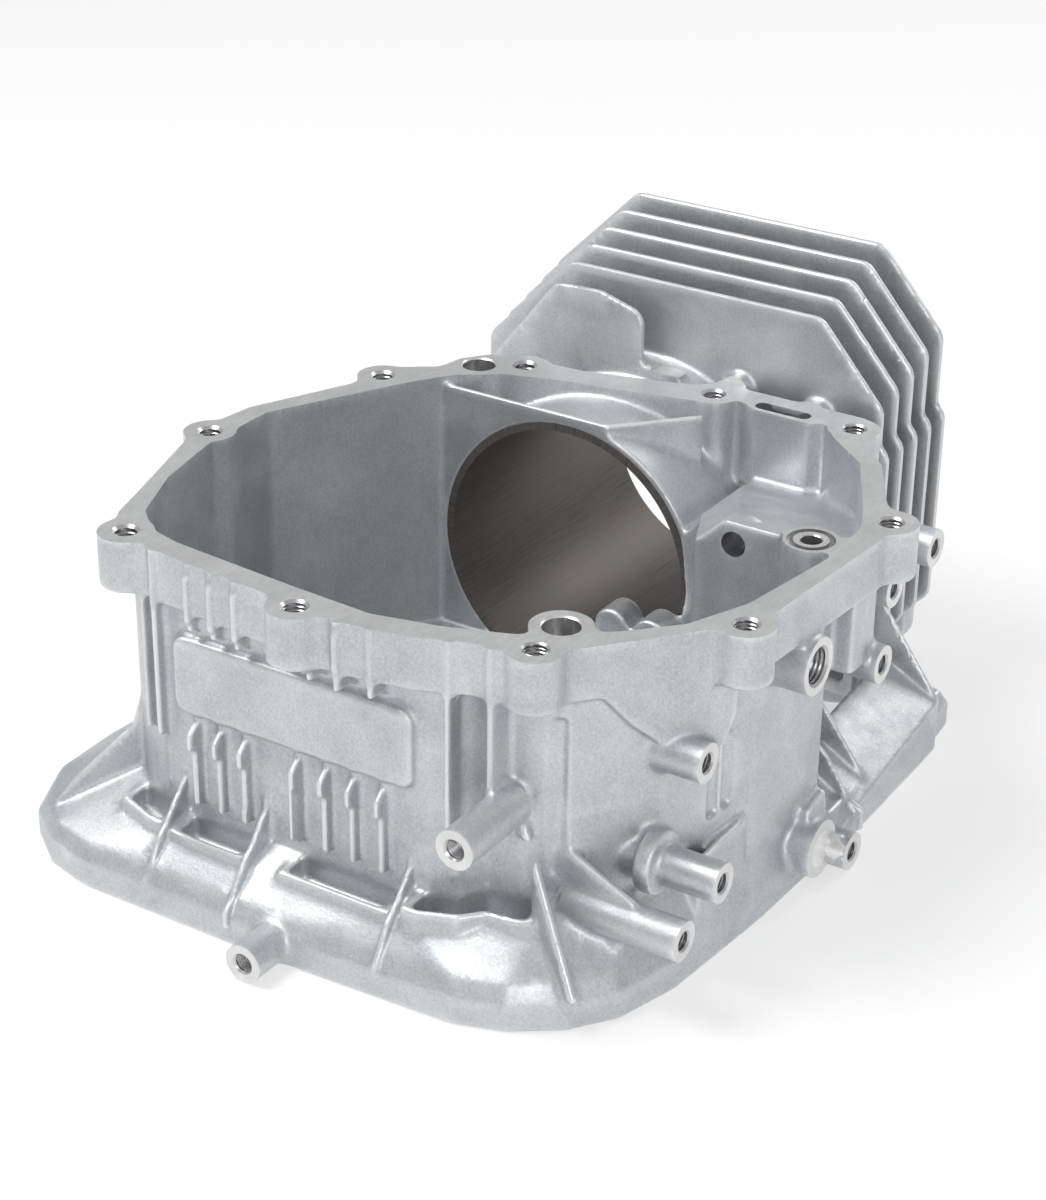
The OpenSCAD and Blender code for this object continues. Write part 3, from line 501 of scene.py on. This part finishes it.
class Finish:
    """A metal whose colour, roughness and bump come from noise at the real scale, in object space."""

    def __init__(self, name, metallic):
        self.material = bpy.data.materials.new(name)
        self.material.use_nodes = True
        self.nodes, self.links = self.material.node_tree.nodes, self.material.node_tree.links
        self.shader = self.nodes["Principled BSDF"]
        self.shader.inputs["Metallic"].default_value = metallic
        self.place = self.nodes.new("ShaderNodeTexCoord").outputs["Object"]

    def stretched(self, scale, turn=(0, 0, 0), source=None):
        mapping = self.nodes.new("ShaderNodeMapping")
        mapping.inputs["Scale"].default_value = scale
        mapping.inputs["Rotation"].default_value = turn
        self.links.new(source or self.place, mapping.inputs["Vector"])
        return mapping.outputs["Vector"]

    def noise(self, millimetres, detail=3, rough=0.55, source=None, warp=0.0):
        node = self.nodes.new("ShaderNodeTexNoise")
        node.inputs["Scale"].default_value = 1000 / millimetres if source is None else 1 / millimetres
        node.inputs["Detail"].default_value = detail
        node.inputs["Roughness"].default_value = rough
        node.inputs["Distortion"].default_value = warp
        self.links.new(source or self.place, node.inputs["Vector"])
        return node.outputs["Fac"]

    def ramp(self, source, stops):
        node = self.nodes.new("ShaderNodeValToRGB")
        while len(node.color_ramp.elements) < len(stops):
            node.color_ramp.elements.new(0.5)
        for element, (at, value) in zip(node.color_ramp.elements, stops):
            element.position = at
            element.color = (*value, 1) if isinstance(value, tuple) else (value, value, value, 1)
        self.links.new(source, node.inputs["Fac"])
        return node.outputs["Color"]

    def calc(self, operation, *values):
        node = self.nodes.new("ShaderNodeMath")
        node.operation = operation
        for value, socket in zip(values, node.inputs):
            if isinstance(value, bpy.types.NodeSocket):
                self.links.new(value, socket)
            else:
                socket.default_value = value
        return node.outputs[0]

    def blend(self, factor, a, b, kind="MIX"):
        node = self.nodes.new("ShaderNodeMix")
        node.data_type = "RGBA"
        node.blend_type = kind
        for key, value in (("Factor", factor), ("A", a), ("B", b)):
            socket = node.inputs[key]
            if isinstance(value, bpy.types.NodeSocket):
                self.links.new(value, socket)
            else:
                socket.default_value = (*value, 1) if isinstance(value, tuple) else value
        return node.outputs["Result"]

    def bump(self, source, millimetres, before=None):
        node = self.nodes.new("ShaderNodeBump")
        node.inputs["Strength"].default_value = 1
        node.inputs["Distance"].default_value = millimetres * MM
        self.links.new(source, node.inputs["Height"])
        if before is not None:
            self.links.new(before, node.inputs["Normal"])
        return node.outputs["Normal"]

    def edges(self, low, high):
        """Painted highlight: white where the surface is sharply convex."""
        node = self.nodes.new("ShaderNodeNewGeometry")
        return self.ramp(node.outputs["Pointiness"], [(low, 0.0), (high, 1.0)])

    def done(self, colour, roughness, normal):
        self.links.new(colour, self.shader.inputs["Base Color"])
        self.links.new(roughness, self.shader.inputs["Roughness"])
        self.links.new(normal, self.shader.inputs["Normal"])
        return self.material


def blasted_cast():
    f = Finish("cast_alloy", 0.85)
    cloud = f.ramp(f.noise(26, 4, 0.6, warp=0.6), [(0.3, (0.47, 0.49, 0.51)), (0.7, (0.66, 0.67, 0.68))])
    grain = f.noise(0.8, 2, 0.6)
    colour = f.blend(0.35, cloud, f.ramp(grain, [(0.3, (0.4, 0.41, 0.42)), (0.7, (0.78, 0.79, 0.8))]))
    # Dark flow marks and stains of the mould's lubricant, and a painted highlight on the convex edges
    marks = f.ramp(f.noise(7, 6, 0.7, warp=1.2), [(0.6, 0.0), (0.72, 1.0)])
    colour = f.blend(f.blend(1.0, marks, (0.3, 0.3, 0.3), "MULTIPLY"), colour, (0.3, 0.31, 0.33))
    # Painted highlight: sharply convex edges are lightened towards pale grey
    colour = f.blend(f.edges(0.51, 0.56), colour, (0.82, 0.82, 0.82))
    rough = f.ramp(f.noise(12, 4, 0.6), [(0.3, 0.4), (0.7, 0.56)])
    normal = f.bump(f.noise(5, 3, 0.6), 0.10)
    normal = f.bump(grain, 0.045, normal)
    return f.done(colour, rough, normal)


def milled():
    f = Finish("milled_alloy", 0.9)
    streaks = f.noise(0.5, 2, 0.6, f.stretched((1000, 90, 90), (0, 0, 0.35)))
    cloud = f.ramp(f.noise(18, 4, 0.6), [(0.3, (0.66, 0.66, 0.65)), (0.7, (0.82, 0.82, 0.81))])
    colour = f.blend(0.3, cloud, f.ramp(streaks, [(0.3, (0.6, 0.6, 0.6)), (0.7, (0.86, 0.86, 0.85))]))
    scuffs = f.ramp(f.noise(3, 5, 0.7, warp=2.0), [(0.63, 0.0), (0.7, 0.5)])
    colour = f.blend(scuffs, colour, (0.5, 0.5, 0.5))
    rough = f.ramp(streaks, [(0.3, 0.3), (0.7, 0.42)])
    return f.done(colour, rough, f.bump(streaks, 0.012))


def bored(name, dark, light):
    f = Finish(name, 0.95)
    rings = f.noise(0.4, 2, 0.6)
    colour = f.ramp(rings, [(0.3, (dark, dark, dark * 1.01)), (0.7, (light, light, light * 1.01))])
    rough = f.ramp(f.noise(4, 3, 0.6), [(0.3, 0.24), (0.7, 0.36)])
    return f.done(colour, rough, f.bump(rings, 0.012))


def honed_sleeve():
    f = Finish("honed_iron", 0.7)
    axes = f.nodes.new("ShaderNodeSeparateXYZ")
    f.links.new(f.place, axes.inputs[0])
    height = f.calc("SUBTRACT", axes.outputs["Z"], BORE_Z * MM)
    turn = f.calc("ARCTAN2", height, axes.outputs["X"])
    unrolled = f.nodes.new("ShaderNodeCombineXYZ")
    f.links.new(f.calc("MULTIPLY", turn, BORE_R * MM), unrolled.inputs["X"])
    f.links.new(axes.outputs["Y"], unrolled.inputs["Y"])
    one = f.noise(1, 2, 0.6, f.stretched((1600, 40, 1), (0, 0, 0.6), unrolled.outputs[0]))
    two = f.noise(1, 2, 0.6, f.stretched((1600, 40, 1), (0, 0, -0.6), unrolled.outputs[0]))
    lines = f.blend(0.5, one, two)
    colour = f.ramp(lines, [(0.35, (0.1, 0.092, 0.088)), (0.65, (0.2, 0.188, 0.18))])
    stains = f.ramp(f.noise(22, 4, 0.6, warp=1.0), [(0.35, 0.0), (0.75, 0.55)])
    colour = f.blend(stains, colour, (0.17, 0.145, 0.125))
    rough = f.ramp(lines, [(0.3, 0.42), (0.7, 0.58)])
    return f.done(colour, rough, f.bump(lines, 0.012))


def pressed_plug():
    f = Finish("plug_alloy", 0.9)
    fine = f.noise(1.2, 3, 0.6)
    colour = f.ramp(fine, [(0.3, (0.8, 0.8, 0.8)), (0.7, (0.9, 0.9, 0.9))])
    rough = f.ramp(f.noise(3, 3, 0.6), [(0.3, 0.25), (0.7, 0.38)])
    return f.done(colour, rough, f.bump(fine, 0.02))


MATERIALS = [blasted_cast(), milled(), bored("bored_alloy", 0.5, 0.66), bored("threads", 0.34, 0.5)]
NODE_MATERIALS = {"cylinder_sleeve": honed_sleeve(), "gallery_plug": pressed_plug()}


# Scene

def add_camera():
    data = bpy.data.cameras.new("camera")
    data.lens = CAMERA_LENS
    data.clip_start = 0.05
    camera = bpy.data.objects.new("camera", data)
    bpy.context.collection.objects.link(camera)
    turn = Euler((math.pi / 2 - CAMERA_ELEVATION, 0, CAMERA_AZIMUTH)).to_matrix().to_4x4()
    roll = Matrix.Rotation(CAMERA_ROLL, 4, "Z")
    camera.matrix_world = Matrix.Translation(CAMERA_PLACE) @ turn @ roll
    bpy.context.scene.camera = camera


def add_area_light(name, place, target, size, power):
    data = bpy.data.lights.new(name, "AREA")
    data.shape = "DISK"
    data.size = size
    data.energy = power
    light = bpy.data.objects.new(name, data)
    bpy.context.collection.objects.link(light)
    light.location = place
    light.rotation_euler = (Vector(target) - Vector(place)).to_track_quat("-Z", "Y").to_euler()


def add_lights():
    middle = (0, 0.04, 0.06)
    add_area_light("key", (-0.55, -0.4, 1.3), middle, 0.7, 14)
    add_area_light("fill", (1.1, -1.1, 0.8), middle, 0.9, 7)
    add_area_light("back", (0.4, 1.3, 1.0), middle, 0.8, 5)


def add_world():
    world = bpy.data.worlds.new("studio")
    bpy.context.scene.world = world
    world.use_nodes = True
    nodes, links = world.node_tree.nodes, world.node_tree.links
    nodes.clear()
    out = nodes.new("ShaderNodeOutputWorld")
    light = nodes.new("ShaderNodeBackground")
    light.inputs["Color"].default_value = (0.95, 0.96, 0.98, 1)
    light.inputs["Strength"].default_value = 0.52
    seen = nodes.new("ShaderNodeBackground")
    seen.inputs["Color"].default_value = (1, 1, 1, 1)
    seen.inputs["Strength"].default_value = 1.0
    path = nodes.new("ShaderNodeLightPath")
    mix = nodes.new("ShaderNodeMixShader")
    links.new(path.outputs["Is Camera Ray"], mix.inputs[0])
    links.new(light.outputs[0], mix.inputs[1])
    links.new(seen.outputs[0], mix.inputs[2])
    links.new(mix.outputs[0], out.inputs["Surface"])


def add_floor():
    """A white floor: the light it gets only darkens it where the object's shadow falls."""
    bpy.ops.mesh.primitive_plane_add(size=6, location=(0, 0, cad_box[0][2]))
    floor = bpy.context.object
    floor.name = "floor"
    material = bpy.data.materials.new("floor")
    material.use_nodes = True
    nodes, links = material.node_tree.nodes, material.node_tree.links
    shader = nodes["Principled BSDF"]
    shader.inputs["Base Color"].default_value = (0.95, 0.95, 0.95, 1)
    shader.inputs["Roughness"].default_value = 0.9
    white = nodes.new("ShaderNodeEmission")
    white.inputs["Color"].default_value = (1, 1, 1, 1)
    path = nodes.new("ShaderNodeLightPath")
    seen = nodes.new("ShaderNodeMath")
    seen.operation = "MAXIMUM"
    links.new(path.outputs["Is Camera Ray"], seen.inputs[0])
    links.new(path.outputs["Is Glossy Ray"], seen.inputs[1])
    part = nodes.new("ShaderNodeMath")
    part.operation = "MULTIPLY"
    part.inputs[1].default_value = 0.55
    links.new(seen.outputs[0], part.inputs[0])
    mix = nodes.new("ShaderNodeMixShader")
    links.new(part.outputs[0], mix.inputs[0])
    links.new(shader.outputs[0], mix.inputs[1])
    links.new(white.outputs[0], mix.inputs[2])
    links.new(mix.outputs[0], nodes["Material Output"].inputs["Surface"])
    floor.data.materials.append(material)


def split(body, limit):
    """Shares the casting's faces out to pieces along the block, each under the limit of triangles."""
    mesh = body.data
    count = len(mesh.polygons)
    starts, sizes = np.empty(count, np.int32), np.empty(count, np.int32)
    finishes, centres = np.empty(count, np.int32), np.empty(count * 3, np.float32)
    mesh.polygons.foreach_get("loop_start", starts)
    mesh.polygons.foreach_get("loop_total", sizes)
    mesh.polygons.foreach_get("material_index", finishes)
    mesh.polygons.foreach_get("center", centres)
    corners, normals = np.empty(len(mesh.loops), np.int32), np.empty(len(mesh.loops) * 3, np.float32)
    mesh.loops.foreach_get("vertex_index", corners)
    mesh.corner_normals.foreach_get("vector", normals)
    normals = normals.reshape(-1, 3)
    points = np.empty(len(mesh.vertices) * 3, np.float32)
    mesh.vertices.foreach_get("co", points)
    points = points.reshape(-1, 3)
    order = np.argsort(centres.reshape(-1, 3)[:, 1], kind="stable")
    reached = np.cumsum(sizes[order] - 2)
    shares = math.ceil(reached[-1] / limit)
    group = np.minimum((reached - 1) * shares // reached[-1], shares - 1)
    pieces = []
    for number in range(shares):
        chosen = np.sort(order[group == number])
        size = sizes[chosen]
        first = np.concatenate([[0], np.cumsum(size)[:-1]]).astype(np.int32)
        loops = np.repeat(starts[chosen] - first, size) + np.arange(size.sum())
        used, local = np.unique(corners[loops], return_inverse=True)
        part = bpy.data.meshes.new("casting_%d" % (number + 1))
        part.vertices.add(len(used))
        part.vertices.foreach_set("co", points[used].ravel())
        part.loops.add(len(loops))
        part.loops.foreach_set("vertex_index", local.astype(np.int32).ravel())
        part.polygons.add(len(chosen))
        part.polygons.foreach_set("loop_start", first)
        part.polygons.foreach_set("material_index", finishes[chosen])
        part.update(calc_edges=True)
        part.shade_smooth()
        part.normals_split_custom_set(normals[loops].tolist())
        pieces.append(add_object(part.name, part, MATERIALS))
    bpy.data.objects.remove(body)
    return pieces


add_camera()
add_world()
add_lights()
add_floor()
bpy.context.scene.view_settings.view_transform = "Standard"

casting = make_casting(frame["nodes"]["crankcase"])
casting.data.shade_smooth()
casting.data.set_sharp_from_angle(angle=SHARP_ANGLE)
for piece in split(casting, PIECE_TRIANGLES):
    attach(piece, "root")
    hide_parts("crankcase")
for name, material in NODE_MATERIALS.items():
    node = frame["nodes"][name]
    if not node.material_slots:
        node.data.materials.append(material)
    node.material_slots[0].link = "OBJECT"
    node.material_slots[0].material = material
